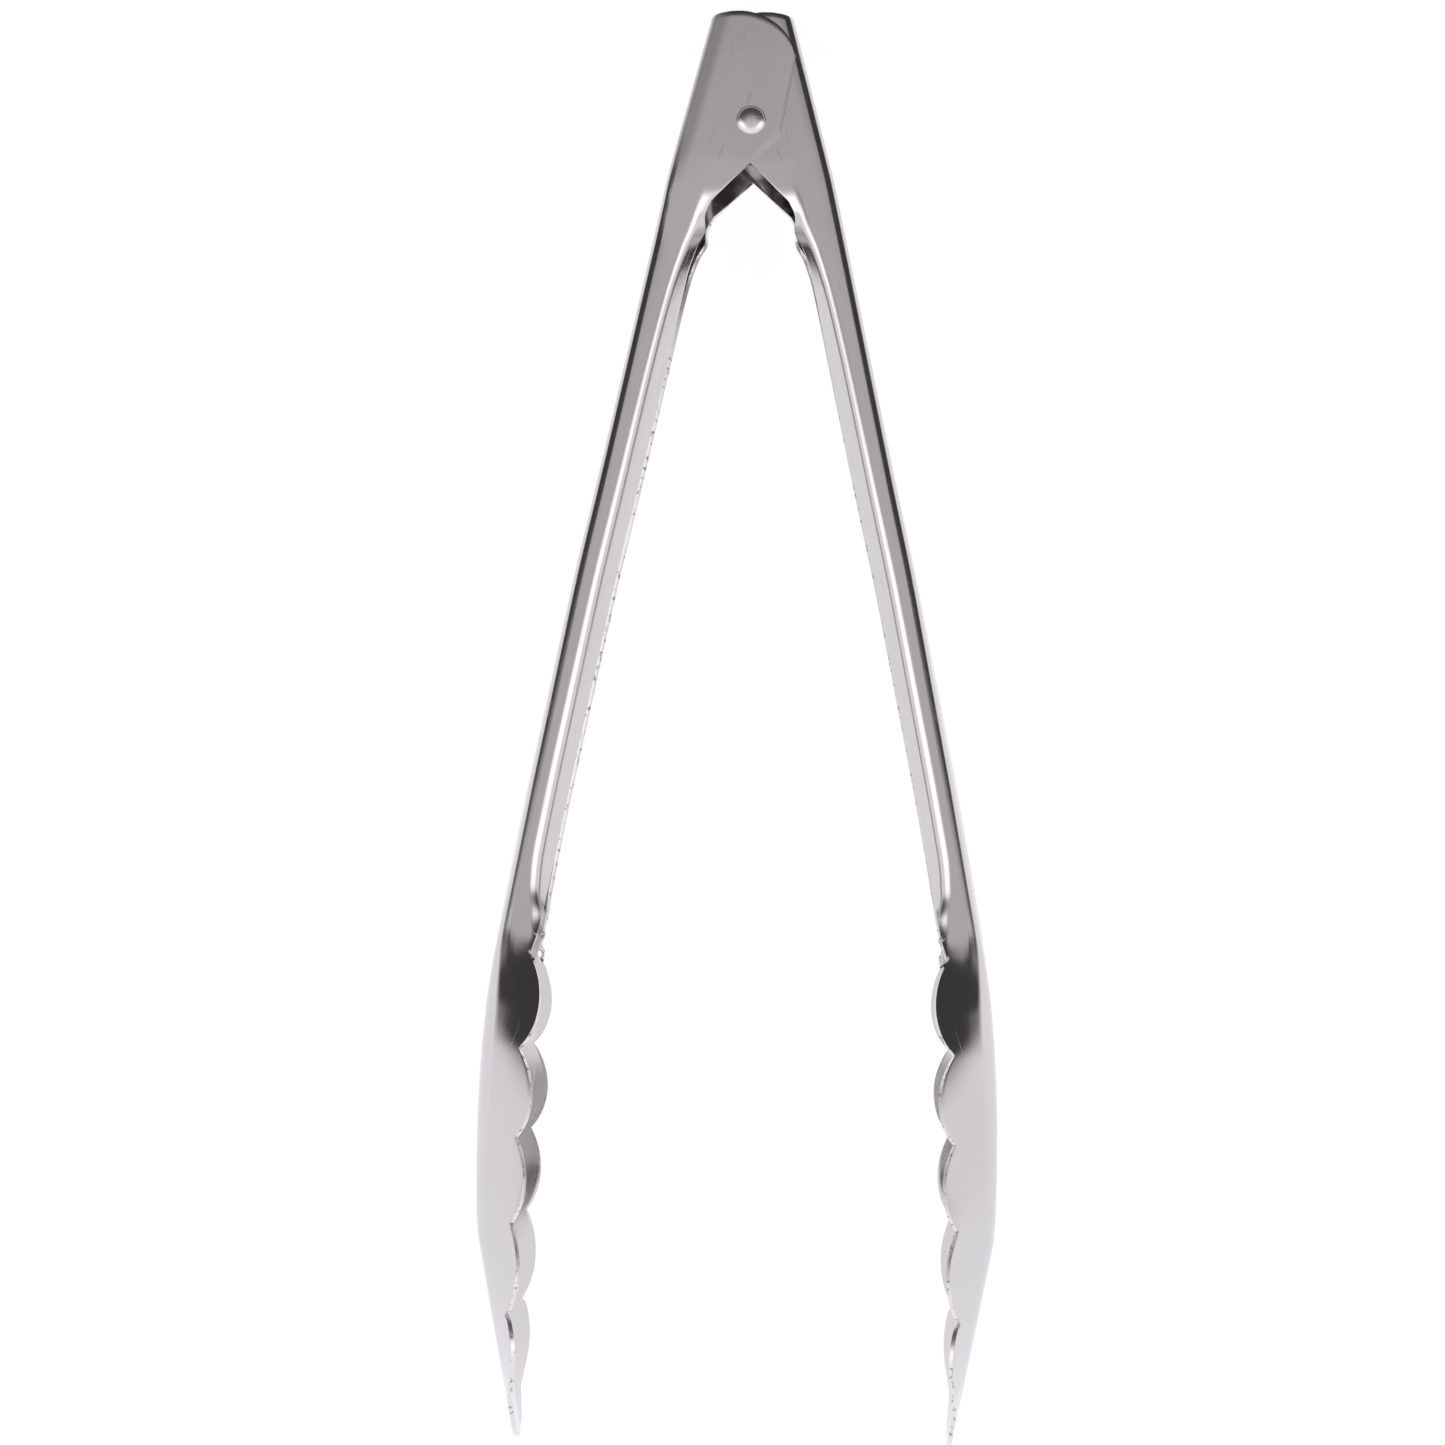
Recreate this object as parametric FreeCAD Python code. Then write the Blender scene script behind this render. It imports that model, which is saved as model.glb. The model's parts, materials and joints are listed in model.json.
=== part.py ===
"""Spring-loaded kitchen tongs, about 12 inches long, pressed from stainless sheet.

Two pressed arms are joined near their top by one rivet.  The outer arm's ears straddle the inner
arm's ears, and a torsion spring wound round the rivet pushes the arms open.

The pieces are drawn in the tongs' own frame, in millimetres: the rivet's axis is Z, the head points
along +Y, the scoops along -Y, the outer arm is on the -X side and the inner arm on the +X side.
They are then laid on a table: the scoops are wider than the head, so the head end sits lower.
"""

import math
import os

import FreeCAD, Part
from FreeCAD import Vector

# ---------------------------------------------------------------- driving dimensions
SHEET = 0.9                 # thickness of the pressed sheet
ARM_LEAN = 11.5             # degrees between an open arm's axis and the tongs' own axis
HANDLE_HALF = 9.7           # half the outside width of a handle, and of the inner arm's head
EAR_CLEARANCE = 0.15        # gap between an outer ear and the inner ear inside it
OUTER_HEAD_HALF = HANDLE_HALF + SHEET + EAR_CLEARANCE
TOE_TIP = 278.0             # station of the very tip of a scoop

# An arm is described by stations: distances along its axis from the rivet, towards the tip.
# BACK is the offset of the back's outer face from that axis, and is negative away from the other arm.
BACK_LINE = [(-26, -12.45), (0, -13.87), (20, -14.88), (45, -15.35), (80, -15.9), (104, -16.35),
             (140, -16.35), (165, -16.0), (173, -15.8), (182, -15.4), (198, -13.88), (210, -12.15),
             (218.5, -10.62), (234, -7.26), (238.5, -6.0)]
TOE_SLOPE = 0.417           # the toe runs straight inwards from the end of the back line

# The pressed section at each station: half the flat of the back, the corner's outer radius, the angle that
# it turns through, the run of flat wall after it, the length of the bend after that, the angle that the
# bend turns inwards, and a length of lip that reaches past the cut edge.
SECTIONS = [(-26, 7.7, 2.0, 90, 4.0, 2.0, 0, 19.0), (9, 7.7, 2.0, 90, 4.0, 2.0, 0, 19.0),
            (15, 7.65, 2.05, 90, 4.4, 2.2, 8, 13.0), (19, 7.65, 2.05, 90, 4.8, 2.4, 24, 9.0),
            (23, 7.7, 2.0, 90, 4.5, 2.8, 44, 6.0), (30, 7.75, 1.95, 90, 2.9, 3.3, 54, 6.0),
            (40, 7.8, 1.9, 90, 1.4, 3.5, 56, 6.6), (52, 7.8, 1.9, 90, 0.8, 3.5, 56, 7.2),
            (158, 7.8, 1.9, 90, 0.8, 3.5, 56, 7.2), (166, 7.8, 1.9, 90, 1.6, 3.3, 54, 6.6),
            (171, 7.7, 2.0, 90, 3.0, 2.8, 42, 6.0), (175, 7.4, 2.3, 88, 3.2, 2.4, 18, 8.0),
            (179, 6.8, 3.2, 84, 2.6, 2.2, 0, 12.0), (184, 5.6, 5.2, 77, 2.0, 2.0, 0, 14.0),
            (191, 4.4, 8.0, 66, 1.5, 2.0, 0, 14.0), (199, 4.2, 9.0, 55, 1.2, 2.0, 0, 14.0),
            (208, 3.9, 8.5, 50, 1.0, 2.0, 0, 14.0), (224, 3.6, 8.0, 48, 1.0, 2.0, 0, 14.0),
            (240, 3.6, 9.0, 40, 0.9, 1.5, 0, 14.0), (252, 3.7, 11.0, 27, 0.7, 1.0, 0, 14.0),
            (262, 3.4, 12.0, 20, 0.5, 0.5, 0, 14.0), (270, 3.0, 12.0, 10, 0.5, 0.5, 0, 14.0),
            (280, 2.5, 12.0, 4, 0.5, 0.5, 0, 14.0)]
# The outer arm's head is wider than its handle, and has a slightly sharper corner.
SHOULDER = [(-26, 1.0), (9, 1.0), (15, 0.9), (21, 0.45), (29, 0.0), (280, 0.0)]
SHARPER_CORNER = 0.3
STRAIGHT = 0.01             # a bend through less than this, in radians, is drawn as a straight run
FLAT_BACK = (104, 140)      # stations between which the back is a true plane
STATION_STEP = 8.0          # longest gap between the sections that a skin is stretched over
SCOOP_STEP = 5.0            # even gap between the sections from the flat back to the tip
FINE_STEP = 2.0             # the same at the neck, where the lips turn in
RIM_DEPTH = 8.9             # depth of a handle's channel, from its back to the edge of its lips

# The ear, in (station, offset) of the arm's own side view.
EAR_ARC_CENTRE = (-9.4, -5.0)
EAR_ARC_RADIUS = 13.0
EAR_FREE_EDGE = 6.45        # offset of the ear's free edge, past the rivet
EAR_LOW_CORNER = 1.8        # station where the free edge turns into the slanting edge
EAR_TURN = -28.0            # degrees round the ear's arc where its soft outer corner starts
SOFT_CORNER = 2.6           # how far that corner reaches down the back
SOFT_CORNER_MIDDLE = (0.75, -0.55)   # where its middle lies, from the arc's end and from the chord
# The edge of the lips: a dip and a lump at the neck, and then the long straight rim.
NECK = [(18.0, -4.6), (21.2, -5.3), (24.2, -4.6), (28.0, -5.7), (35.0, -6.45)]
STRAIGHT_RIM = (60.0, 150.0)
RIM_END = (174.8, -7.05)

# The scalloped rim of the scoop: cusps as (station, offset), joined by arcs that rise above their chords.
CUSPS = [(179.2, -7.75), (198.6, -5.15), (216.5, -1.9), (233.6, 0.95), (252.2, 3.95)]
SCALLOP_RISES = [3.4, 3.05, 2.45, 2.1]
# Past them the toe is cut from above: stations and half widths of its last lobe and of its tip.
TOE_CUSP = (CUSPS[-1][0], 15.4)
TOE_LOBE = (260.8, 16.0)
TIP_CUSP = (269.5, 9.6)
TIP_SIDE = (275.0, 6.6)

# Rivet and spring
RIVET_RADIUS = 2.0
RIVET_RUNNING = 0.05        # radial clearance of the inner arm on the rivet
RIVET_HEAD_RADIUS = 3.05
RIVET_HEAD_HEIGHT = 1.2
FORMED_HEAD_RADIUS = 3.3
FORMED_HEAD_HEIGHT = 1.0
HEAD_DOME_DROP = 0.28       # fall of the dome from its middle to 0.62 of its radius
HEAD_EDGE_HEIGHT = 0.25
DIMPLE_RADIUS = 1.1         # dimple left in the formed head by the riveting tool
DIMPLE_DEPTH = 1.6
WIRE = 1.7
COIL_MEAN_RADIUS = 4.15
COIL_PITCH = 1.88
COIL_TURNS = 7              # whole turns; a part turn more brings the legs to their arms
LEG_STATION = 33.0          # where a leg's end bears on its arm
LEG_GAP = 0.1

AXIS = Vector(math.sin(math.radians(ARM_LEAN)), -math.cos(math.radians(ARM_LEAN)), 0)
INWARD = Vector(-math.cos(math.radians(ARM_LEAN)), -math.sin(math.radians(ARM_LEAN)), 0)
UP = Vector(0, 0, 1)
CLEAR_OF_ARM = 30.0         # reach of the cutting outlines past the sheet


# ---------------------------------------------------------------- helpers
def smooth(knots, x, column=1):
    """A cubic through the knots' values at x, with no overshoot where two neighbours are equal."""
    xs = [k[0] for k in knots]
    ys = [k[column] for k in knots]
    i = max(0, min(len(xs) - 2, sum(1 for v in xs if v <= x) - 1))
    slopes = [(ys[j + 1] - ys[j]) / (xs[j + 1] - xs[j]) for j in range(len(xs) - 1)]

    def tangent(j):
        if j == 0 or j == len(xs) - 1:
            return slopes[min(j, len(slopes) - 1)]
        before, after = slopes[j - 1], slopes[j]
        return 0.0 if before * after <= 0 else 2 * before * after / (before + after)

    h = xs[i + 1] - xs[i]
    t = min(1.0, max(0.0, (x - xs[i]) / h))
    return ((1 + 2 * t) * (1 - t) ** 2 * ys[i] + t * (1 - t) ** 2 * h * tangent(i)
            + t * t * (3 - 2 * t) * ys[i + 1] + t * t * (t - 1) * h * tangent(i + 1))


def back(s):
    """Offset of the back's outer face at a station."""
    end, value = BACK_LINE[-1]
    return smooth(BACK_LINE, s) if s <= end else value + TOE_SLOPE * (s - end)


def place(s, u, z=0.0):
    """A point of the +X arm from its station, its offset towards the other arm, and its height."""
    return AXIS * s + INWARD * u + UP * z


def line(a, b):
    return Part.makeLine(a, b)


def arc(a, middle, b):
    return Part.Arc(a, middle, b).toShape()


def half_section(s, head_half, inset):
    """Corners and arc middles of half a pressed section, from the back's centre to the lip's edge.

    inset is 0 for the outer face and the sheet's thickness for the inner one."""
    flat, radius, wall, wall_run, bend, lip, lip_length = (smooth(SECTIONS, s, c) for c in range(1, 8))
    widening = (head_half - HANDLE_HALF) * smooth(SHOULDER, s)
    flat += widening * (1 + SHARPER_CORNER)
    radius -= widening * SHARPER_CORNER
    wall, lip = math.radians(wall), math.radians(lip)
    u, z, angle = back(s) + inset, 0.0, 0.0
    points = [(u, z)]
    z += flat
    points.append((u, z))

    def turn(r, by):
        """Adds an arc's middle and end."""
        nonlocal u, z, angle
        for _ in range(2):
            chord = 2 * r * math.sin(by / 4)
            u += chord * math.sin(angle + by / 4)
            z += chord * math.cos(angle + by / 4)
            angle += by / 2
            points.append((u, z))

    def run(length):
        nonlocal u, z
        u += length * math.sin(angle)
        z += length * math.cos(angle)
        points.append((u, z))

    turn(radius - inset, wall)
    run(wall_run)
    if lip > STRAIGHT:
        turn(bend / lip - inset, lip)
    else:
        run(bend / 2)
        run(bend / 2)
    run(lip_length)
    return points


def section_wire(s, head_half):
    """The closed outline of the sheet, cut square across the arm at a station."""
    edges = []
    rims = []
    for inset in (0.0, SHEET):
        half = [place(s, u, z) for u, z in half_section(s, head_half, inset)]
        low = [Vector(p.x, p.y, -p.z) for p in half]
        bent = math.radians(smooth(SECTIONS, s, 6)) > STRAIGHT

        def side(p, flipped):
            made = [arc(p[1], p[2], p[3]), line(p[3], p[4]),
                    arc(p[4], p[5], p[6]) if bent else line(p[4], p[6]), line(p[6], p[7])]
            return made[::-1] if flipped else made

        path = side(low, True) + [line(low[1], half[1])] + side(half, False)
        edges.append(path if inset == 0.0 else path[::-1])
        rims.append((low[7], half[7]))
    ends = [line(rims[0][1], rims[1][1]), line(rims[1][0], rims[0][0])]
    return Part.Wire(Part.__sortEdges__(edges[0] + [ends[0]] + edges[1] + [ends[1]]))


def stations():
    """Where the sections stand: at every named station, with no gap longer than STATION_STEP."""
    named = sorted(k for k in {k[0] for k in SECTIONS} | {k[0] for k in BACK_LINE} if k <= FLAT_BACK[1])
    found = []
    for a, b in zip(named, named[1:]):
        straight = b <= 9 or (60 <= a and b <= FLAT_BACK[1])
        count = 1 if straight else math.ceil((b - a) / (FINE_STEP if b < 40 else STATION_STEP))
        found += [a + (b - a) * i / count for i in range(count)]
    count = round((SECTIONS[-1][0] - FLAT_BACK[1]) / SCOOP_STEP)
    return found + [FLAT_BACK[1] + SCOOP_STEP * i for i in range(count + 1)]


def side_outline():
    """What is kept of the sheet, seen along the rivet: ear, neck, handle rim, scallops, open toe."""
    reach = EAR_FREE_EDGE - EAR_ARC_CENTRE[1]
    outer, inner = -CLEAR_OF_ARM, CLEAR_OF_ARM

    def to(point):
        return place(point[0], point[1], -CLEAR_OF_ARM)

    def arc_point(degrees):
        a = math.radians(degrees)
        return (EAR_ARC_CENTRE[0] - EAR_ARC_RADIUS * math.cos(a),
                EAR_ARC_CENTRE[1] + EAR_ARC_RADIUS * math.sin(a))

    end_angle = math.degrees(math.asin(reach / EAR_ARC_RADIUS))
    first, last = arc_point(EAR_TURN), arc_point(end_angle)
    middle = arc_point((EAR_TURN + end_angle) / 2)
    low_corner = (EAR_LOW_CORNER, EAR_FREE_EDGE)
    shoulder = (first[0] + SOFT_CORNER, back(first[0] + SOFT_CORNER))
    bulge = (first[0] + SOFT_CORNER_MIDDLE[0], (first[1] + shoulder[1]) / 2 + SOFT_CORNER_MIDDLE[1])
    dip = ((NECK[0][0] + NECK[2][0]) / 2, NECK[1][1])
    edges = [line(to((shoulder[0], outer)), to(shoulder)),
             arc(to(shoulder), to(bulge), to(first)),
             arc(to(first), to(middle), to(last)),
             line(to(last), to(low_corner)),
             line(to(low_corner), to(NECK[0])),
             arc(to(NECK[0]), to(dip), to(NECK[2]))]
    rim = NECK[2:] + [(s, back(s) + RIM_DEPTH) for s in STRAIGHT_RIM] + [RIM_END, CUSPS[0]]
    edges += [line(to(a), to(b)) for a, b in zip(rim, rim[1:])]
    for a, b, rise in zip(CUSPS, CUSPS[1:], SCALLOP_RISES):
        crest = ((a[0] + b[0]) / 2, (a[1] + b[1]) / 2 + rise)
        edges.append(arc(to(a), to(crest), to(b)))
    past_tip = TOE_TIP + SHEET
    corners = [CUSPS[-1], (CUSPS[-1][0], inner), (past_tip, inner), (past_tip, outer), (shoulder[0], outer)]
    edges += [line(to(a), to(b)) for a, b in zip(corners, corners[1:])]
    return Part.Face(Part.Wire(edges)).extrude(UP * 2 * CLEAR_OF_ARM)


def toe_outline():
    """What is kept of the sheet, seen square to the arm's axis: everything but the corners of the toe."""
    def to(point, side):
        return place(point[0], -CLEAR_OF_ARM, point[1] * side)

    start = (-CLEAR_OF_ARM, CLEAR_OF_ARM)
    before = (TOE_CUSP[0], CLEAR_OF_ARM)
    tip = (TOE_TIP, 0)
    edges = [line(to(start, -1), to(start, 1))]
    for side in (1, -1):
        edges += [line(to(start, side), to(before, side)),
                  line(to(before, side), to(TOE_CUSP, side)),
                  arc(to(TOE_CUSP, side), to(TOE_LOBE, side), to(TIP_CUSP, side)),
                  arc(to(TIP_CUSP, side), to(TIP_SIDE, side), to(tip, side))]
    return Part.Face(Part.Wire(Part.__sortEdges__(edges))).extrude(INWARD * 2 * CLEAR_OF_ARM)


def arm(head_half, hole_radius):
    """The +X arm: a skin of sheet stretched over its sections, trimmed like the pressed blank."""
    lengths = []
    for low, high, straight in ((stations()[0], FLAT_BACK[1], True), (FLAT_BACK[1], stations()[-1], False)):
        wires = [section_wire(s, head_half) for s in stations() if low <= s <= high]
        lengths.append(Part.makeLoft(wires, True, straight))
    skin = lengths[0].fuse(lengths[1])
    if skin.Volume < 0:
        skin.reverse()
    trimmed = skin.common(side_outline()).common(toe_outline())
    drill = Part.makeCylinder(hole_radius, 2 * CLEAR_OF_ARM, UP * -CLEAR_OF_ARM)
    return trimmed.cut(drill).Solids


def rivet():
    """One turned and headed piece: a domed head, a plain shank, and a rolled head with a dimple."""
    grip = OUTER_HEAD_HALF
    top, bottom = grip + RIVET_HEAD_HEIGHT, -grip - FORMED_HEAD_HEIGHT

    def p(r, z):
        return Vector(r, 0, z)

    dome_end = p(RIVET_HEAD_RADIUS, grip + HEAD_EDGE_HEIGHT)
    roll_end = p(FORMED_HEAD_RADIUS * 0.55, bottom)
    dimple_side = p(DIMPLE_RADIUS, bottom + DIMPLE_DEPTH * 0.2)
    dimple_wall = p(DIMPLE_RADIUS * 0.7, bottom + DIMPLE_DEPTH * 0.75)
    dimple_floor = p(0, bottom + DIMPLE_DEPTH)
    edges = [arc(p(0, top), p(RIVET_HEAD_RADIUS * 0.62, top - HEAD_DOME_DROP), dome_end),
             line(dome_end, p(RIVET_HEAD_RADIUS, grip)),
             line(p(RIVET_HEAD_RADIUS, grip), p(RIVET_RADIUS, grip)),
             line(p(RIVET_RADIUS, grip), p(RIVET_RADIUS, -grip)),
             line(p(RIVET_RADIUS, -grip), p(FORMED_HEAD_RADIUS, -grip)),
             arc(p(FORMED_HEAD_RADIUS, -grip), p(FORMED_HEAD_RADIUS * 0.8, bottom + 0.22), roll_end),
             arc(roll_end, dimple_side, dimple_wall),
             line(dimple_wall, dimple_floor),
             line(dimple_floor, p(0, top))]
    return Part.Face(Part.Wire(edges)).revolve(Vector(0, 0, 0), UP, 360)


def spring():
    """A close-wound torsion spring round the rivet, with one leg against the inside of each back."""
    wire = WIRE / 2
    bear = back(LEG_STATION) + SHEET + wire + LEG_GAP
    foot = place(LEG_STATION, bear)
    to_tangent = math.acos(COIL_MEAN_RADIUS / math.hypot(foot.x, foot.y))
    angle = math.atan2(foot.y, foot.x) + to_tangent
    swept = 2 * math.pi * COIL_TURNS + math.pi - 2 * angle
    half_height = COIL_PITCH * swept / (4 * math.pi)
    # It is wound left-handed, so that squeezing the arms winds it tighter.
    helix = Part.makeHelix(COIL_PITCH, 2 * half_height, COIL_MEAN_RADIUS, 0, True)
    helix.rotate(Vector(0, 0, 0), UP, 180.0 - math.degrees(angle))
    helix.translate(UP * -half_height)
    bend_x, bend_y = COIL_MEAN_RADIUS * math.cos(angle), COIL_MEAN_RADIUS * math.sin(angle)
    left_foot, left_bend = Vector(-foot.x, foot.y, -half_height), Vector(-bend_x, bend_y, -half_height)
    right_foot, right_bend = Vector(foot.x, foot.y, half_height), Vector(bend_x, bend_y, half_height)
    path = Part.Wire([line(left_foot, left_bend)] + helix.Edges + [line(right_bend, right_foot)])
    section = Part.Wire(Part.makeCircle(wire, left_foot, left_bend - left_foot))
    return path.makePipeShell([section], True, True, 0)


def lay_down(pieces):
    """Turns and moves every piece so that the tongs lie on a table, centred on the origin."""
    scoop = arm_reach(pieces)
    head_reach = OUTER_HEAD_HALF + FORMED_HEAD_HEIGHT
    tilt = -math.degrees(math.atan2(scoop[1] - head_reach, -scoop[0]))
    for shape in pieces.values():
        shape.rotate(Vector(0, 0, 0), Vector(1, 0, 0), tilt)
    points = [v for shape in pieces.values() for v in shape.tessellate(0.05)[0]]
    low = Vector(*(min(getattr(v, c) for v in points) for c in "xyz"))
    high = Vector(*(max(getattr(v, c) for v in points) for c in "xyz"))
    move = Vector(-(low.x + high.x) / 2, -(low.y + high.y) / 2, -low.z)
    for shape in pieces.values():
        shape.translate(move)
    print("tilt", round(tilt, 4), "rivet at", [round(c, 3) for c in move], "size", high.sub(low))


def arm_reach(pieces):
    """(y, distance below the middle plane) of the lowest rim of the scoops."""
    points = pieces["inner_arm"].tessellate(0.05)[0]
    lowest = min(points, key=lambda v: v.z)
    return lowest.y, -lowest.z


def main():
    os.makedirs("parts", exist_ok=True)
    inner = arm(HANDLE_HALF, RIVET_RADIUS + RIVET_RUNNING)
    outer = arm(OUTER_HEAD_HALF, RIVET_RADIUS)
    print("solids in each arm", len(inner), len(outer))
    pieces = {"inner_arm": inner[0],
              "outer_arm": outer[0].mirror(Vector(0, 0, 0), Vector(1, 0, 0)),
              "pivot_rivet": rivet(),
              "torsion_spring": spring()}
    lay_down(pieces)
    for name, shape in pieces.items():
        print(name, "valid", shape.isValid(), "solids", len(shape.Solids), "faces", len(shape.Faces),
              "volume", round(shape.Volume, 1))
        shape.exportStep(os.path.join("parts", name + ".step"))


main()
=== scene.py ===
# %% [markdown]
# # Spring-loaded kitchen tongs
#
# The tongs are two pressings of thin stainless sheet, one rivet and one torsion spring. Everything a cook
# sees is sheet metal, so this lesson is about pressing: each arm starts as a flat blank, a plain grid, and
# every point of the blank is moved to where the press tool would put it. That keeps the faces in long
# tidy rows, and tidy rows are what makes a polished surface reflect cleanly.

# %% Load the frame
import json
import math

import bmesh
import bpy
from mathutils import Matrix, Vector

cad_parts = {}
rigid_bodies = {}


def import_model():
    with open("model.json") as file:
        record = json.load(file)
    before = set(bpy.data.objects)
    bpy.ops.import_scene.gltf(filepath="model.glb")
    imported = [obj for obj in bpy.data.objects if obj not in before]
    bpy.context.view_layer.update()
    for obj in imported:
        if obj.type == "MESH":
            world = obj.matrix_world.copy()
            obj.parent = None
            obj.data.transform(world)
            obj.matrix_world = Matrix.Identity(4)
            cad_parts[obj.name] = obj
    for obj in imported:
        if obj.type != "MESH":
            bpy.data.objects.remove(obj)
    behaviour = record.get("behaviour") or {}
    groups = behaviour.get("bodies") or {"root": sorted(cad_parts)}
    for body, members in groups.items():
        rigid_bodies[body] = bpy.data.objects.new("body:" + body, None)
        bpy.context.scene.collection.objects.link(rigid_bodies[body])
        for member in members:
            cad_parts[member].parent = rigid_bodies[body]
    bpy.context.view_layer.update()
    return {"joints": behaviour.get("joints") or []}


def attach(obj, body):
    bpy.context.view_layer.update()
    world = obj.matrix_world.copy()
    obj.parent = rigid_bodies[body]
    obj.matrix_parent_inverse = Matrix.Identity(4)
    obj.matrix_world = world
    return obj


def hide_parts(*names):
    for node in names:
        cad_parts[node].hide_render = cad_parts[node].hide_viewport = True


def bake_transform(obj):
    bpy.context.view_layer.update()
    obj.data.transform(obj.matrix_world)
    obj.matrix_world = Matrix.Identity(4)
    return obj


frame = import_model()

hinge = frame["joints"][0]
OUTER_BODY, INNER_BODY = hinge["parent"], hinge["child"]

# %% [markdown]
# ## The tongs' own axes
#
# On the bench it is easier to think with the rivet at the origin, its axis along Z, the scoops along -Y and
# lengths in millimetres. On the table the tongs lie slightly head-down, because the scoops are wider than
# the head. The hinge in the frame says where the rivet is and how far it leans, so one matrix carries
# points from the bench to the table.

# %% Bench to table
MM = 0.001
rivet_axis = -Vector(hinge["axis"])
lean = math.atan2(-rivet_axis.y, rivet_axis.z)
TABLE = Matrix.Translation(Vector(hinge["pos_m"])) @ Matrix.Rotation(lean, 4, "X") @ Matrix.Scale(MM, 4)
print("rivet leans", round(math.degrees(lean), 3), "degrees at", hinge["pos_m"])

# %% [markdown]
# ## Sizes of an arm
#
# An arm is described along its own axis, which leans out from the middle. A *station* is a distance along
# that axis from the rivet, and an *offset* is a distance across it, towards the other arm. The back of the
# arm follows one line of stations and offsets; the cross-section changes along it, from the square ears,
# through the channel of the handle with its turned-in lips, to the open trough of the scoop.

# %% Driving sizes, in millimetres
SHEET = 0.9
ARM_LEAN = math.radians(11.5)
HANDLE_HALF = 9.7
EAR_CLEARANCE = 0.15
OUTER_HEAD_HALF = HANDLE_HALF + SHEET + EAR_CLEARANCE
TIP = 278.0

BACK_LINE = [(-26, -12.45), (0, -13.87), (20, -14.88), (45, -15.35), (80, -15.9), (104, -16.35),
             (140, -16.35), (165, -16.0), (173, -15.8), (182, -15.4), (198, -13.88), (210, -12.15),
             (218.5, -10.62), (234, -7.26), (238.5, -6.0)]
TOE_SLOPE = 0.417

# station, half the flat of the back, corner radius and turn, run of wall, length and turn of the bend, and
# the degrees that half the back falls away through, because the handle's back is slightly crowned
SECTIONS = [(-26, 7.7, 2.0, 90, 4.0, 2.0, 0, 0), (9, 7.7, 2.0, 90, 4.0, 2.0, 0, 0),
            (15, 7.65, 2.05, 90, 4.4, 2.0, 8, 0), (19, 7.65, 2.05, 90, 4.7, 2.0, 24, 1),
            (23, 7.7, 2.0, 90, 4.6, 2.1, 44, 2), (30, 7.75, 1.95, 90, 3.5, 2.2, 58, 3),
            (40, 7.8, 1.9, 90, 2.6, 2.3, 62, 4), (60, 7.8, 1.9, 90, 1.9, 2.5, 60, 6),
            (100, 7.8, 1.9, 90, 1.3, 3.0, 57, 9), (158, 7.8, 1.9, 90, 0.6, 3.5, 56, 15),
            (166, 7.8, 1.9, 90, 1.4, 3.3, 54, 15), (171, 7.7, 2.0, 90, 2.8, 2.8, 42, 14),
            (175, 7.4, 2.3, 88, 3.0, 2.4, 18, 12), (179, 6.8, 3.2, 84, 2.6, 2.2, 0, 9),
            (184, 5.6, 5.2, 77, 2.0, 2.0, 0, 5), (191, 4.4, 8.0, 66, 1.5, 2.0, 0, 0),
            (199, 4.2, 9.0, 55, 1.2, 2.0, 0, 0), (208, 3.9, 8.5, 50, 1.0, 2.0, 0, 0),
            (224, 3.6, 8.0, 48, 1.0, 2.0, 0, 0), (240, 3.6, 9.0, 40, 0.9, 1.5, 0, 0),
            (252, 3.7, 11.0, 27, 0.7, 1.0, 0, 0), (262, 3.4, 12.0, 20, 0.5, 0.5, 0, 0),
            (270, 3.0, 12.0, 10, 0.5, 0.5, 0, 0), (280, 2.5, 12.0, 4, 0.5, 0.5, 0, 0)]
# The outer arm's head is wider than its handle, with a slightly sharper corner.
SHOULDER = [(-26, 1.0), (9, 1.0), (15, 0.9), (21, 0.45), (29, 0.0), (280, 0.0)]
SHARPER_CORNER = 0.3


# %% A curve through a few sizes
def smooth(knots, x, column=1):
    """A cubic through the knots' values, which never overshoots between two equal neighbours."""
    i = max(0, min(len(knots) - 2, sum(1 for k in knots if k[0] <= x) - 1))

    def slope(j):
        return (knots[j + 1][column] - knots[j][column]) / (knots[j + 1][0] - knots[j][0])

    def tangent(j):
        if j == 0 or j == len(knots) - 1:
            return slope(min(j, len(knots) - 2))
        before, after = slope(j - 1), slope(j)
        return 0.0 if before * after <= 0 else 2 * before * after / (before + after)

    h = knots[i + 1][0] - knots[i][0]
    t = min(1.0, max(0.0, (x - knots[i][0]) / h))
    return ((1 + 2 * t) * (1 - t) ** 2 * knots[i][column] + t * (1 - t) ** 2 * h * tangent(i)
            + t * t * (3 - 2 * t) * knots[i + 1][column] + t * t * (t - 1) * h * tangent(i + 1))


def back(station):
    end, value = BACK_LINE[-1]
    return smooth(BACK_LINE, station) if station <= end else value + TOE_SLOPE * (station - end)


print("back of the handle at", [round(back(s), 2) for s in (0, 60, 120, 180, 240)])

# %% [markdown]
# ## The cut edge
#
# The blank's edge decides the silhouette: the rounded ear, its straight free edge, the slanting edge that
# opens the fork, the neck, the long rim of the handle, then the scallops that give the scoop its grip. Each
# stretch is a short formula of the station, so the scallops meet in true cusps. At both ends of the arm the
# edge runs across the blank instead of along it, so the first and last rows of the blank follow a curve.

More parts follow.
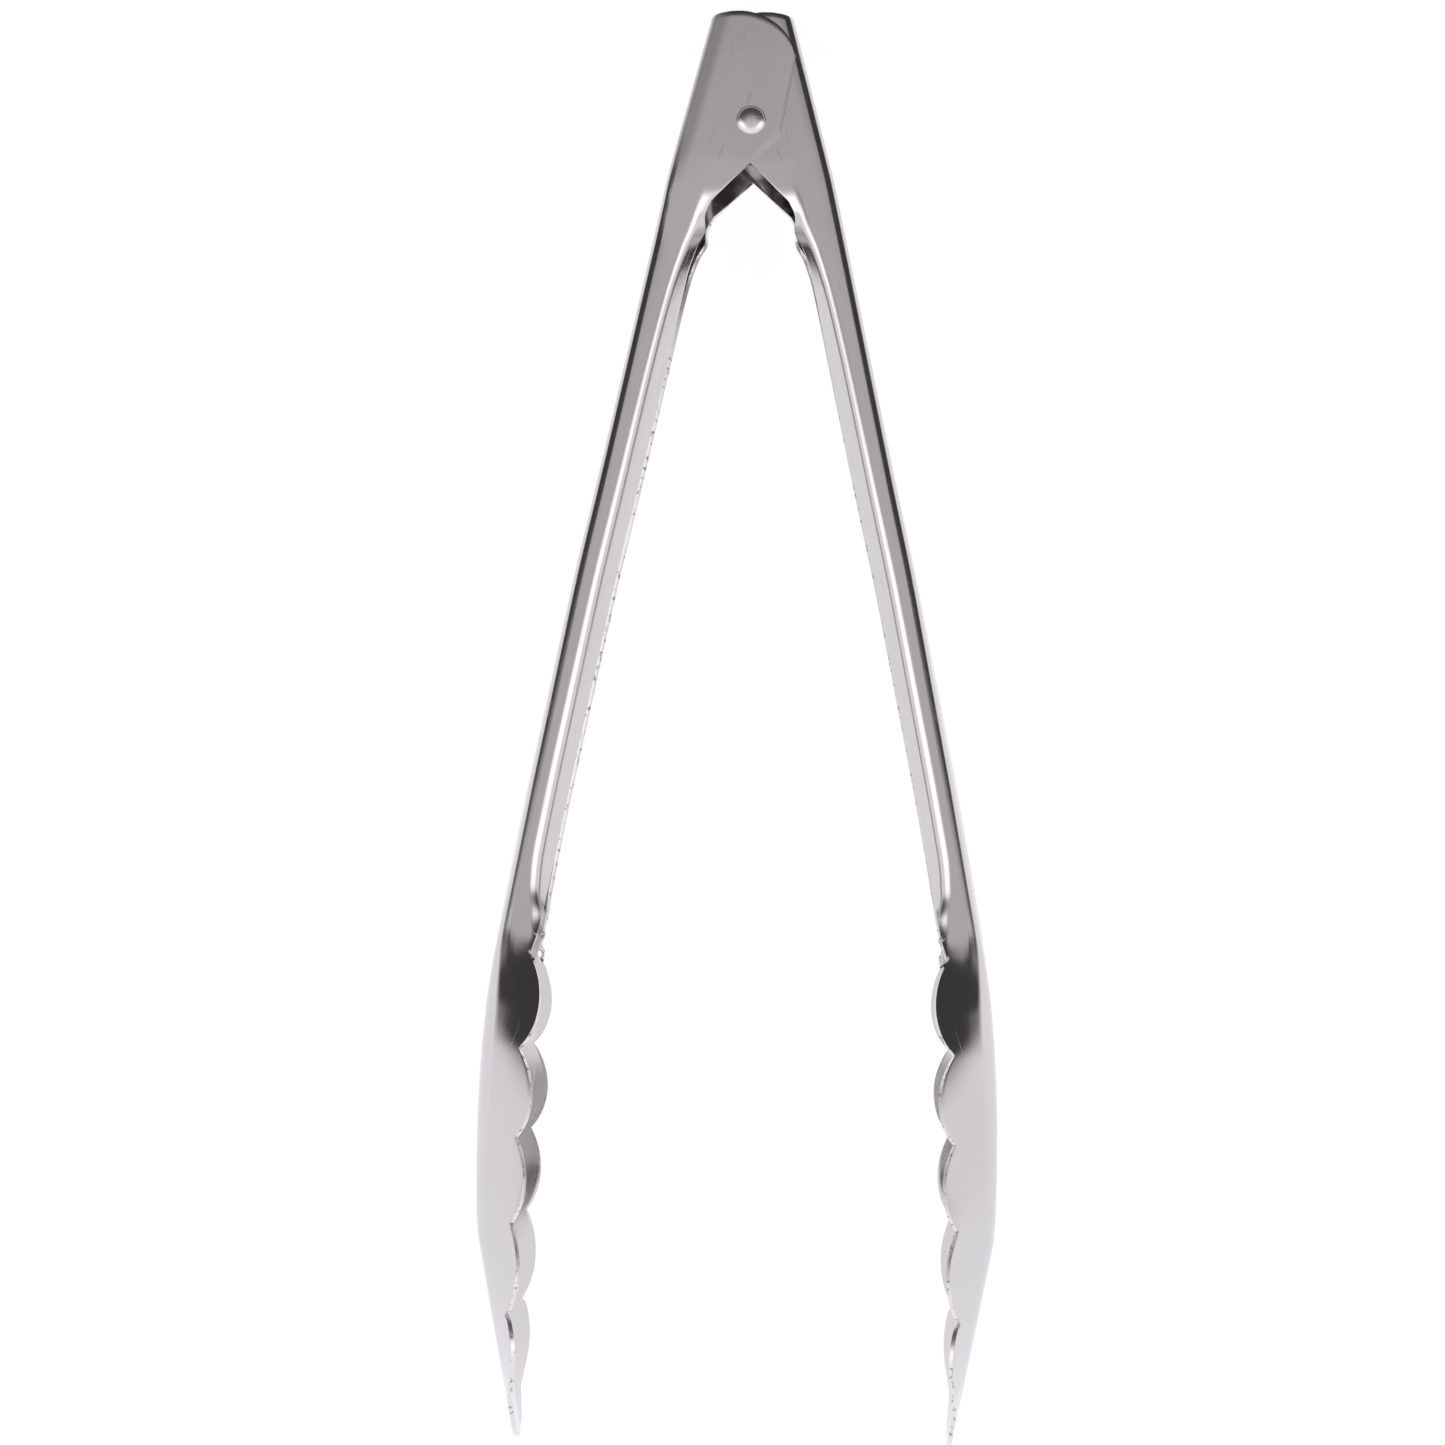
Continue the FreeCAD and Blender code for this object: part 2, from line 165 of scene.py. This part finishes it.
# %% Rim offsets by station
EAR_CENTRE = (-9.4, -5.0)
EAR_RADIUS = 13.0
EAR_FREE_EDGE = 6.45
EAR_LOW_CORNER = 1.8
NECK = [(18.0, -4.6), (21.2, -5.3), (24.2, -4.6), (28.0, -5.7), (35.0, -6.45), (60.0, -6.7), (80.0, -7.0),
        (104.0, -7.45), (140.0, -7.45), (165.0, -7.1), (172.0, -6.95), (174.8, -7.05)]
CUSPS = [(179.2, -7.75), (198.6, -5.15), (216.5, -1.9), (233.6, 0.95), (252.2, 3.95)]
RISES = [3.4, 3.05, 2.45, 2.1]
TOE_CUSP_HALF = 15.4
TOE_LOBE_HALF = 16.0
TIP_CUSP = (269.5, 9.6)
LAST_ROW = 275.5


def arc_height(x, a, b, rise):
    """Height of a circular arc above its chord."""
    half = (b - a) / 2
    radius = (half * half + rise * rise) / (2 * rise)
    return math.sqrt(max(0.0, radius ** 2 - (x - (a + b) / 2) ** 2)) - (radius - rise)


def along(x, a, b):
    return (x - a[0]) / (b[0] - a[0])


def rim_offset(s):
    """Offset of the cut edge from the arm's axis, from the ear to the last full scallop."""
    if s <= EAR_LOW_CORNER:
        return EAR_FREE_EDGE
    if s <= NECK[0][0]:
        t = along(s, (EAR_LOW_CORNER, 0), NECK[0])
        return EAR_FREE_EDGE + (NECK[0][1] - EAR_FREE_EDGE) * t
    if s <= NECK[-1][0]:
        return smooth(NECK, s)
    points = [NECK[-1]] + CUSPS
    for a, b, rise in zip(points, points[1:], [0.0] + RISES):
        if s <= b[0]:
            lift = arc_height(s, a[0], b[0], rise) if rise else 0.0
            return a[1] + (b[1] - a[1]) * along(s, a, b) + lift
    return None


def rim_half(s):
    """Half width of the toe: one last lobe after the scallops, then the rounded tip."""
    start = CUSPS[-1][0]
    if s > TIP_CUSP[0]:
        return TIP_CUSP[1] * ((TIP - s) / (TIP - TIP_CUSP[0])) ** 0.357
    t = (s - start) / (TIP_CUSP[0] - start)
    chord = TOE_CUSP_HALF + (TIP_CUSP[1] - TOE_CUSP_HALF) * t
    return chord + arc_height(s, start, TIP_CUSP[0], TOE_LOBE_HALF - (TOE_CUSP_HALF + TIP_CUSP[1]) / 2)


print("rim at the cusps", [round(rim_offset(s - 0.001), 2) for s, _ in CUSPS])

# %% [markdown]
# ## Pressing a blank
#
# Across the blank the columns are shared out by feature: some for half the flat of the back, more for the
# corner, a few for the short wall, more for the bend of the lip, and the rest for the lip itself. The same
# column stays on the same feature from end to end, so the highlight along the lip is one unbroken line.

# %% The pressed section
COLUMNS = (4, 6, 2, 6, 8)      # half of the back, corner, wall, bend, lip
STRAIGHT = 0.01                # a turn through less than this, in radians, is left straight


def formed(station, head_half, part, t, lip_length):
    """(offset, height, direction) on the outer face of half a section, at 0 to 1 along one feature."""
    flat, radius, wall, run, bend, lip, crown = (smooth(SECTIONS, station, c) for c in range(1, 8))
    widening = (head_half - HANDLE_HALF) * smooth(SHOULDER, station)
    flat += widening * (1 + SHARPER_CORNER)
    radius -= widening * SHARPER_CORNER
    turns = (math.radians(crown), math.radians(wall - crown), 0.0, math.radians(lip), 0.0)
    lengths = (flat, radius * math.radians(wall), run, bend, lip_length)
    u, z, angle = back(station), 0.0, 0.0
    for number in range(part + 1):
        share = t if number == part else 1.0
        turn = turns[number] * share
        reach = lengths[number] * share
        if turn > STRAIGHT:
            reach = 2 * reach / turn * math.sin(turn / 2)
        u += reach * math.sin(angle + turn / 2)
        z += reach * math.cos(angle + turn / 2)
        angle += turn
    return u, z, angle


def lip_to_rim(station, head_half):
    """Length of the lip that ends it on the cut edge."""
    u, z, angle = formed(station, head_half, 4, 0.0, 0.0)
    if station <= CUSPS[-1][0]:
        return (rim_offset(station) - u) / math.sin(angle)
    return (rim_half(station) - z) / math.cos(angle)


print("lip of the handle", round(lip_to_rim(120, HANDLE_HALF), 2), "mm")


# %% Where the rows of the blank stand, closer together where the form changes quickly
def even(a, b, step):
    count = max(1, math.ceil((b - a) / step))
    return [a + (b - a) * i / count for i in range(count)]


TOP = EAR_CENTRE[0] - math.sqrt(EAR_RADIUS ** 2 - (back(-20) - EAR_CENTRE[1]) ** 2)
NECK_END = 34
STRETCHES = [(TOP, -8, 1.2), (-8, EAR_LOW_CORNER, 1.4), (EAR_LOW_CORNER, NECK[0][0], 1.0),
             (NECK[0][0], NECK_END, 0.8), (NECK_END, 104, 3.5), (104, 140, 6.0), (140, 165, 3.0),
             (165, NECK[-1][0], 0.8), (NECK[-1][0], CUSPS[0][0], 0.7)]
STRETCHES += [(a[0], b[0], 0.95) for a, b in zip(CUSPS, CUSPS[1:])]
STRETCHES += [(CUSPS[-1][0], TIP_CUSP[0], 0.9), (TIP_CUSP[0], LAST_ROW, 0.75)]
ROWS = [s for a, b, step in STRETCHES for s in even(a, b, step)] + [LAST_ROW]
print(len(ROWS), "rows across the blank,", 2 * sum(COLUMNS), "columns along it")


def end_shift(station, u, z):
    """How far a point's row bows, to follow the ear's round top at one end and the tip at the other."""
    if station < 0.0:
        top = EAR_CENTRE[0] - math.sqrt(max(0.0, EAR_RADIUS ** 2 - (u - EAR_CENTRE[1]) ** 2))
        return (top - TOP) * (station / TOP) ** 1.5
    toe = CUSPS[-1][0]
    if station > toe:
        share = min(1.0, abs(z) / rim_half(station))
        tip = (TIP - LAST_ROW) * (1 - share ** 1.6)
        return tip * ((station - toe) / (LAST_ROW - toe)) ** 2
    return 0.0


# %% Press one arm
COLUMN_WIDTH = 0.8             # the grain's map counts every column as this wide


def bench_point(side, station, u, z):
    """A point of the arm on one side (+1 or -1), from station, offset and height."""
    x = station * math.sin(ARM_LEAN) - u * math.cos(ARM_LEAN)
    y = -station * math.cos(ARM_LEAN) - u * math.sin(ARM_LEAN)
    return Vector((side * x, y, z))


def press_arm(side, head_half):
    """A grid of points moved onto one arm's outer face, with a map that runs along the sheet's grain."""
    columns = [(part, (i + 1) / n) for part, n in enumerate(COLUMNS) for i in range(n)]
    columns = [(0, 0.0)] + columns
    half = len(columns) - 1
    mesh = bmesh.new()
    bmesh.ops.create_grid(mesh, x_segments=2 * half, y_segments=len(ROWS) - 1, size=1.0)
    grain = mesh.loops.layers.uv.new("along_the_arm")
    spots = {}
    for vertex in mesh.verts:
        i = round((vertex.co.y + 1) / 2 * (len(ROWS) - 1))
        j = round((vertex.co.x + 1) / 2 * 2 * half) - half
        part, t = columns[abs(j)]
        station = ROWS[i]
        lip = lip_to_rim(station, head_half)
        u, z, _ = formed(station, head_half, part, t, lip)
        moved = station + end_shift(station, u, z)
        u, z, _ = formed(moved, head_half, part, t, lip)
        spots[vertex] = (moved, j)
        vertex.co = TABLE @ bench_point(side, moved, u, math.copysign(z, j) if j else 0.0)
    for face in mesh.faces:
        face.smooth = True
        for loop in face.loops:
            station, j = spots[loop.vert]
            loop[grain].uv = (station * MM, j * COLUMN_WIDTH * MM)
    return mesh


def finish_mesh(mesh, name, body, replaced):
    """Makes a bmesh one piece of the scene, riding on a body in place of a CAD node."""
    data = bpy.data.meshes.new(name)
    mesh.to_mesh(data)
    mesh.free()
    piece = bpy.data.objects.new(name, data)
    bpy.context.scene.collection.objects.link(piece)
    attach(piece, body)
    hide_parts(replaced)
    print(name, len(data.vertices), "points")
    return piece


def ease_edges(piece, width, segments, sharper_than):
    """Rounds every edge that turns by more than an angle in degrees."""
    edge = piece.modifiers.new("eased edges", "BEVEL")
    edge.width = width * MM
    edge.segments = segments
    edge.limit_method = "ANGLE"
    edge.angle_limit = math.radians(sharper_than)


def wall_and_edge(piece):
    """Gives the pressed skin its thickness, inwards from the outer face, and eases its cut edges."""
    wall = piece.modifiers.new("sheet thickness", "SOLIDIFY")
    wall.thickness = SHEET * MM
    wall.offset = -1.0
    wall.material_offset_rim = 1
    ease_edges(piece, width=0.24, segments=3, sharper_than=50)


ARMS = (("outer_arm_pressing", -1, OUTER_HEAD_HALF, OUTER_BODY, "outer_arm"),
        ("inner_arm_pressing", 1, HANDLE_HALF, INNER_BODY, "inner_arm"))
arms = []
for name, side, head_half, body, node in ARMS:
    skin = press_arm(side, head_half)
    if side < 0:
        bmesh.ops.reverse_faces(skin, faces=skin.faces[:])
    arms.append(finish_mesh(skin, name, body, node))
    wall_and_edge(arms[-1])

# %% [markdown]
# ## The rivet
#
# A rivet is a turned part, so it is a profile spun round its axis: a low dome on the near side, a plain
# shank, and a rolled head with a dimple on the far side, where the riveting tool spread it.

# %% Spin the rivet
RIVET_PROFILE = [(0.0, 11.95), (0.9, 11.92), (1.7, 11.82), (2.3, 11.64), (2.75, 11.36), (3.0, 11.02),
                 (3.05, 10.76), (2.0, 10.74), (2.0, -10.74), (3.2, -10.78), (3.26, -10.95), (3.0, -11.35),
                 (2.4, -11.66), (1.8, -11.74), (1.25, -11.5), (0.85, -10.7), (0.0, -10.3)]


def spin_profile(profile, steps):
    """A closed turned piece from (radius, height) points that start and end on the axis."""
    mesh = bmesh.new()
    verts = [mesh.verts.new((r, 0, z)) for r, z in profile]
    edges = [mesh.edges.new(pair) for pair in zip(verts, verts[1:])]
    bmesh.ops.spin(mesh, geom=verts + edges, cent=(0, 0, 0), axis=(0, 0, 1), angle=2 * math.pi,
                   steps=steps, use_merge=True)
    bmesh.ops.remove_doubles(mesh, verts=mesh.verts[:], dist=0.001)
    bmesh.ops.recalc_face_normals(mesh, faces=mesh.faces[:])
    for face in mesh.faces:
        face.smooth = True
    return mesh


rivet_mesh = spin_profile(RIVET_PROFILE, steps=64)
rivet_mesh.transform(TABLE)
rivet = finish_mesh(rivet_mesh, "rivet_body", OUTER_BODY, "pivot_rivet")
ease_edges(rivet, width=0.06, segments=2, sharper_than=40)

# %% [markdown]
# ## The spring
#
# A torsion spring is one length of round wire: a straight leg, a close-wound coil, and another straight
# leg. A ring of points is drawn along the first leg, screwed round the rivet for the coil, then drawn out
# along the second leg.

# %% Wind the spring
WIRE_HALF = 0.85
COIL_RADIUS = 4.15
COIL_PITCH = 1.88
COIL_TURNS = 7
LEG_STATION = 33.0
LEG_GAP = 0.1

bear = back(LEG_STATION) + SHEET + WIRE_HALF + LEG_GAP
foot = bench_point(1, LEG_STATION, bear, 0.0)
leg_angle = math.atan2(foot.y, foot.x) + math.acos(COIL_RADIUS / foot.length)
swept = 2 * math.pi * COIL_TURNS + math.pi - 2 * leg_angle
coil_half = COIL_PITCH * swept / (4 * math.pi)
bend = Vector((COIL_RADIUS * math.cos(leg_angle), COIL_RADIUS * math.sin(leg_angle), 0.0))
rise = Vector((0, 0, coil_half))
mirror = Vector((-1, 1, 1))
first_foot, first_bend = foot * mirror - rise, bend * mirror - rise
last_bend, last_foot = bend + rise, foot + rise


def draw_out(mesh, ring, move):
    """Extrudes a ring of wire by one straight move and returns the new ring."""
    edges = [g for g in ring if isinstance(g, bmesh.types.BMEdge)]
    made = bmesh.ops.extrude_edge_only(mesh, edges=edges)["geom"]
    moved = [g for g in made if isinstance(g, bmesh.types.BMVert)]
    bmesh.ops.translate(mesh, verts=moved, vec=move)
    return [g for g in made if not isinstance(g, bmesh.types.BMFace)]


WIRE_SIDES = 16
COIL_STEPS = 300
coil = bmesh.new()
ring = bmesh.ops.create_circle(coil, segments=WIRE_SIDES, radius=WIRE_HALF)["verts"]
lie = (first_bend - first_foot).to_track_quat("Z", "Y").to_matrix().to_4x4()
bmesh.ops.transform(coil, matrix=Matrix.Translation(first_foot) @ lie, verts=ring)
ring += coil.edges[:]
bmesh.ops.contextual_create(coil, geom=coil.edges[:])
ring = draw_out(coil, ring, first_bend - first_foot)
ring = bmesh.ops.spin(coil, geom=ring, cent=(0, 0, 0), axis=(0, 0, -1), angle=swept, steps=COIL_STEPS,
                      dvec=rise * 2 / COIL_STEPS)["geom_last"]
ring = draw_out(coil, ring, last_foot - last_bend)
bmesh.ops.contextual_create(coil, geom=[g for g in ring if isinstance(g, bmesh.types.BMEdge)])
bmesh.ops.recalc_face_normals(coil, faces=coil.faces[:])
for face in coil.faces:
    face.smooth = len(face.verts) == 4
coil.transform(TABLE)
coil_data = bpy.data.meshes.new("torsion_spring_wire")
coil.to_mesh(coil_data)
coil.free()
spring = bpy.data.objects.new("torsion_spring_wire", coil_data)
bpy.context.scene.collection.objects.link(spring)
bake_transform(spring)
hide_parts("torsion_spring")
print("spring of", round(swept / (2 * math.pi), 2), "turns,", len(coil_data.vertices), "points")

# %% [markdown]
# ## The camera
#
# The camera looks almost straight down at the tongs with a long lens, from a little in front of their middle.
# Its place and its turn are given on the bench, so that they lean with the tongs when those are laid down.

# %% Camera
camera_data = bpy.data.cameras.new("camera")
camera = bpy.data.objects.new("camera", camera_data)
bpy.context.scene.collection.objects.link(camera)
SENSOR_WIDTH, FOCAL_LENGTH = 36.0, 80.67
camera_data.sensor_width = SENSOR_WIDTH
camera_data.lens = FOCAL_LENGTH
camera_data.clip_start = 0.01
BENCH_EYE = Vector((20.22, -162.63, 678.54))
BENCH_RIGHT = Vector((0.99925, 0.01568, -0.03540))
BENCH_UP = Vector((-0.01371, 0.99838, 0.05522))
laid_down = Matrix.Rotation(lean, 3, "X")
right, up = laid_down @ BENCH_RIGHT, laid_down @ BENCH_UP
view = Matrix((right, up, right.cross(up))).transposed()
camera.matrix_world = Matrix.Translation(TABLE @ BENCH_EYE) @ view.to_4x4()
bpy.context.scene.camera = camera
print("camera at", [round(c, 3) for c in camera.location])

# %% [markdown]
# ## A small language for finishes
#
# A finish is a graph of nodes. Writing it as sums keeps it readable, so one small class carries a socket and
# adds a Math node for every + - or *, and another makes any node from its type, settings and inputs.

# %% A small language for shader maths
class Wire:
    """A number on its way through a material: + - and * add the Math nodes."""

    def __init__(self, shop, socket):
        self.shop, self.socket = shop, socket

    def _math(self, operation, *values):
        return self.shop.node("ShaderNodeMath", {"operation": operation}, dict(enumerate(values)))

    def __add__(self, other):
        return self._math("ADD", self, other)

    def __sub__(self, other):
        return self._math("SUBTRACT", self, other)

    def __rsub__(self, other):
        return self._math("SUBTRACT", other, self)

    def __mul__(self, other):
        return self._math("MULTIPLY", self, other)

    __radd__, __rmul__ = __add__, __mul__


class Shop:
    """One material or world being made: every node comes from one method."""

    def __init__(self, name, owner=None):
        self.owner = owner or bpy.data.materials.new(name)
        self.owner.use_nodes = True
        self.tree = self.owner.node_tree
        self.tree.nodes.clear()

    def node(self, kind, settings=None, inputs=None, output=0):
        made = self.tree.nodes.new(kind)
        for key, value in (settings or {}).items():
            setattr(made, key, value)
        for key, value in (inputs or {}).items():
            if isinstance(value, Wire):
                self.tree.links.new(value.socket, made.inputs[key])
            else:
                made.inputs[key].default_value = value
        return Wire(self, made.outputs[output]) if len(made.outputs) else None

    def rising(self, value, start, end):
        """0 at start and 1 at end, with a soft change between; start may be the larger."""
        return self.node("ShaderNodeMapRange", {"interpolation_type": "SMOOTHSTEP"},
                         {"Value": value, "From Min": start, "From Max": end})

    def split(self, vector):
        """The three numbers of a vector."""
        parts = self.node("ShaderNodeSeparateXYZ", {}, {"Vector": vector}).socket.node
        return [Wire(self, socket) for socket in parts.outputs]

    def finish(self, shader):
        self.node("ShaderNodeOutputMaterial", {}, {"Surface": shader})
        return self.owner


# %% [markdown]
# ## Stainless steel
#
# The sheet is bright-rolled: nearly a mirror, with a fine grain along the strip, faint clouding from the
# roll, and hair-line scratches from use. The grain and scratches go into the roughness and a very small
# bump. The cut edge is rougher than the rolled face. Its colour is a painted glint, brighter than the
# rolled face to stand in for light catching the burrs, with darker specks where the metal broke away.
# The outer arm's corner beside the rivet is rubbed dull by handling.

# %% Steel finishes
GRAIN_SCALE = (60.0, 9000.0, 9000.0)           # long along the strip, fine across it
SCRATCH_SCALE = (90.0, 2600.0, 2600.0)
SCRATCH_TURN = 0.35                            # scratches lie a little across the grain, in radians
CORNER_START, CORNER_END = 7.4, 9.2            # the rubbed corner on the grain's map, in millimetres
RUBBED = 0.36                                  # roughness that rubbing adds


def steel(name, colour, rough, grain_depth=0.02, scratch_depth=0.05, uv=None, worn=None, cloud=0.06):
    """Bright steel with grain, clouding and hair-line scratches.

    worn is the station where a corner is rubbed dull, and the stretch over which that fades.
    """
    shop = Shop(name)
    spot = shop.node("ShaderNodeTexCoord", {}, {}, "Object")
    place = shop.node("ShaderNodeUVMap", {"uv_map": uv}, {}) if uv else spot
    strip = shop.node("ShaderNodeMapping", {}, {"Vector": place, "Scale": GRAIN_SCALE})
    grain = shop.node("ShaderNodeTexNoise", {}, {"Vector": strip, "Scale": 1.0, "Detail": 3.0})
    clouds = shop.node("ShaderNodeTexNoise", {}, {"Vector": spot, "Scale": 55.0, "Detail": 4.0})
    specks = shop.node("ShaderNodeTexNoise", {}, {"Vector": spot, "Scale": 2400.0, "Detail": 2.0})
    hair_place = shop.node("ShaderNodeMapping", {}, {"Vector": place, "Rotation": (0, 0, SCRATCH_TURN),
                                                     "Scale": SCRATCH_SCALE})
    hair = shop.node("ShaderNodeTexNoise", {}, {"Vector": hair_place, "Scale": 1.0, "Detail": 1.0})
    scratches = shop.rising(hair, 0.70, 0.74)
    roughness = (rough + (clouds - 0.5) * cloud + (grain - 0.5) * 0.08 + scratches * 0.10
                 + (specks - 0.5) * 0.10)
    if worn:
        along_strip, across_strip = shop.split(place)[:2]
        rubbed = shop.rising(along_strip, (worn[0] + worn[1]) * MM, worn[0] * MM)
        from_middle = shop.node("ShaderNodeMath", {"operation": "ABSOLUTE"}, {0: across_strip})
        corner = shop.rising(from_middle, CORNER_END * MM, CORNER_START * MM)
        roughness = roughness + rubbed * corner * RUBBED
    bump = shop.node("ShaderNodeBump", {}, {"Strength": 1.0, "Distance": 0.0001, "Height":
                                            grain * grain_depth + scratches * -scratch_depth + specks * 0.02})
    tone = shop.node("ShaderNodeMix", {"data_type": "RGBA"},
                     {0: clouds, 6: (*colour, 1.0), 7: (*(c * 0.93 for c in colour), 1.0)}, 2)
    shader = shop.node("ShaderNodeBsdfPrincipled", {}, {"Base Color": tone, "Metallic": 1.0,
                                                        "Roughness": roughness, "Normal": bump})
    return shop.finish(shader)


def sheared_steel_with_painted_glint(name):
    """The cut edge of the sheet: a sheared band coloured brighter than the rolled face as a painted glint off
    its burrs, with darker specks where it broke away.
    """
    shop = Shop(name)
    spot = shop.node("ShaderNodeTexCoord", {}, {}, "Object")
    noise = shop.node("ShaderNodeTexNoise", {}, {"Vector": spot, "Scale": 900.0, "Detail": 3.0})
    breaks = shop.rising(noise, 0.56, 0.66)
    # painted glint: the light colour stands in for light glinting on the burrs of the cut edge, and the
    # darker specks are where the metal broke away
    tone = shop.node("ShaderNodeMix", {"data_type": "RGBA"},
                     {0: breaks, 6: (0.80, 0.78, 0.78, 1.0), 7: (0.42, 0.40, 0.39, 1.0)}, 2)
    shader = shop.node("ShaderNodeBsdfPrincipled", {}, {"Base Color": tone, "Metallic": 1.0,
                                                        "Roughness": 0.34 + breaks * 0.2})
    return shop.finish(shader)


STEEL = (0.668, 0.646, 0.648)
outer_steel = steel("bright rolled stainless, rubbed", STEEL, 0.13, uv="along_the_arm", worn=(4.0, 16.0))
inner_steel = steel("bright rolled stainless", STEEL, 0.13, uv="along_the_arm")
sheared = sheared_steel_with_painted_glint("sheared edge")
turned = steel("satin rivet steel", (0.84, 0.82, 0.81), 0.27, 0.03)
wire = steel("drawn spring wire", (0.62, 0.61, 0.60), 0.3, 0.03, 0.03)
for arm, face in zip(arms, (outer_steel, inner_steel)):
    arm.data.materials.append(face)
    arm.data.materials.append(sheared)
rivet.data.materials.append(turned)
spring.data.materials.append(wire)
print("finishes", sheared.name, "+", [made.name for made in (outer_steel, inner_steel, turned, wire)])

# %% [markdown]
# ## The table
#
# The table is a wide white sheet that glows a little, so that it stays an even white in every picture and the
# steel has something light to reflect below it.

# %% The table
TABLE_HALF = 3.0               # metres from the middle to an edge
floor_mesh = bmesh.new()
bmesh.ops.create_grid(floor_mesh, x_segments=1, y_segments=1, size=TABLE_HALF)
floor_data = bpy.data.meshes.new("table")
floor_mesh.to_mesh(floor_data)
floor_mesh.free()
floor = bpy.data.objects.new("table", floor_data)
bpy.context.scene.collection.objects.link(floor)
shop = Shop("white table")
floor.data.materials.append(shop.finish(shop.node("ShaderNodeBsdfPrincipled", {}, {
    "Base Color": (0.20, 0.20, 0.205, 1), "Roughness": 0.9, "Specular IOR Level": 0.0,
    "Emission Color": (0.90, 0.90, 0.93, 1), "Emission Strength": 1.0})))
print("table", floor.dimensions.x, "m wide")

# %% [markdown]
# ## The room
#
# The room is painted straight onto the sky. Behind the tongs it is dark; in front, past the scoops, it is
# white from wall to wall, with a brighter bank of soft light half-way up; overhead is a mid-grey ceiling.
# A pressing's corners face the dark half and its lips the bright half, which is what makes thin steel read
# as steel.

# %% Paint the room
world = bpy.data.worlds.new("studio")
bpy.context.scene.world = world
room = Shop("studio", world)
_, depth, height = room.split(room.node("ShaderNodeTexCoord"))
DARK, WHITE, BANK, CEILING, LOW_WALL = 0.055, 0.98, 1.75, 0.60, 0.5
TINT = 0.03                                    # the dark half is a little warmer than the white one
# Where each light begins and is full: height is 1 straight up, depth is -1 straight ahead past the scoops.
FRONT, LOW = (0.22, -0.06), (0.22, 0.04)
BANK_FOOT, BANK_TOP, BANK_NEAR = (0.42, 0.60), (0.94, 0.84), (-0.42, -0.22)
OVERHEAD = (0.90, 0.975)
front = room.rising(depth, *FRONT)
low_wall = room.rising(height, *LOW)
bank = room.rising(height, *BANK_FOOT) * room.rising(height, *BANK_TOP) * room.rising(depth, *BANK_NEAR)
walls = DARK + front * (WHITE - DARK + bank * (BANK - WHITE))
overhead = room.rising(height, *OVERHEAD)
walls = walls + low_wall * (1.0 - front) * (LOW_WALL - DARK)
brightness = walls + overhead * (CEILING - walls)
warmth = 1.0 - front
shade = room.node("ShaderNodeCombineColor", {}, {"Red": brightness * (1.0 + warmth * TINT),
                                                 "Green": brightness * 0.99,
                                                 "Blue": brightness * (1.02 - warmth * TINT)})
room.node("ShaderNodeOutputWorld", {}, {"Surface": room.node("ShaderNodeBackground", {}, {"Color": shade})})

bpy.context.scene.view_settings.view_transform = "Standard"
print("room of", len(room.tree.nodes), "nodes")
